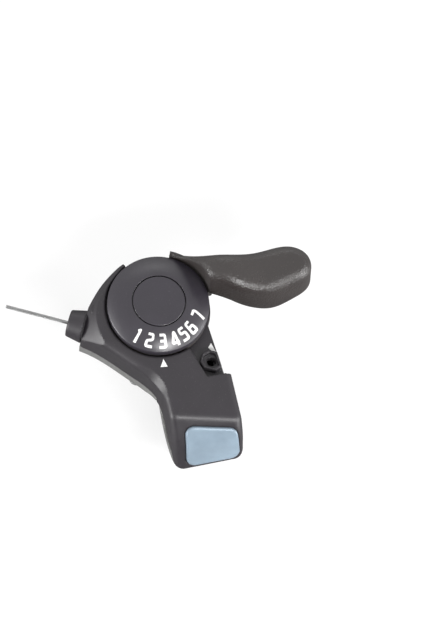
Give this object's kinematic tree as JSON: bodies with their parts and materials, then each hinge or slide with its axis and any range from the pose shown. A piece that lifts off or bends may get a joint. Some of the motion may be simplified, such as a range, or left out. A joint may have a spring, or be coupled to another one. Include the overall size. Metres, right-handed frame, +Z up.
{
  "type": "thumb gear shifter",
  "caption": "Right-hand thumb gear shifter for a bicycle: black housing with a numbered dial, thumb lever, accent insert, bar clamp and inner cable.",
  "frame": {"origin": "middle of the handlebar clamp, on the bar's axis", "axes": "+X along the bar towards the rider's right hand, +Y forward, +Z up along the dial axis"},
  "size_m": [0.0927, 0.0641, 0.0527],
  "materials": {
    "cover_plastic": "satin moulded, fine grain",
    "lever_plastic": "leathery moulded grain",
    "dial_plastic": "satin moulded",
    "drum_plastic": "moulded",
    "accent_plastic": "pearl satin",
    "bracket_alloy": "matt grey",
    "plain_steel": "zinc plated",
    "wire_steel": "stranded wire",
    "bush_brass": "turned"
  },
  "bodies": {
    "housing": {"cover": "cover_plastic", "accent_insert": "accent_plastic", "bracket": "bracket_alloy", "clamp_strap": "bracket_alloy", "hinge_pin": "plain_steel", "clamp_bolt": "plain_steel", "clamp_washer": "plain_steel", "clamp_nut": "plain_steel", "spindle": "plain_steel", "pivot_screw": "plain_steel", "pivot_washer": "plain_steel", "wave_washer": "plain_steel", "click_spring": "plain_steel", "spring_pins": "plain_steel", "cover_screws": "plain_steel"},
    "lever": {"thumb_lever": "lever_plastic", "dial_plate": "dial_plastic", "centre_cap": "dial_plastic", "cable_drum": "drum_plastic", "drum_bush": "bush_brass", "index_ring": "plain_steel", "cable_head": "wire_steel"},
    "cable": {"inner_wire": "wire_steel"}
  },
  "joints": [
    {"name": "lever_turn", "type": "hinge", "parent": "housing", "child": "lever", "pos_m": [-0.0066, 0.0282, 0.026], "axis": [0, 0, 1], "range_deg": [-68.6, 36.2], "deforming": ["click_spring"]},
    {"name": "cable_slide", "type": "slide", "parent": "housing", "child": "cable", "axis": [-0.8934, 0.4493, 0], "range_m": [-0.0067, 0.0121]}
  ],
  "couplings": [
    {"joint": "cable_slide", "follows": "lever_turn", "m_per_rad": -0.0101}
  ]
}
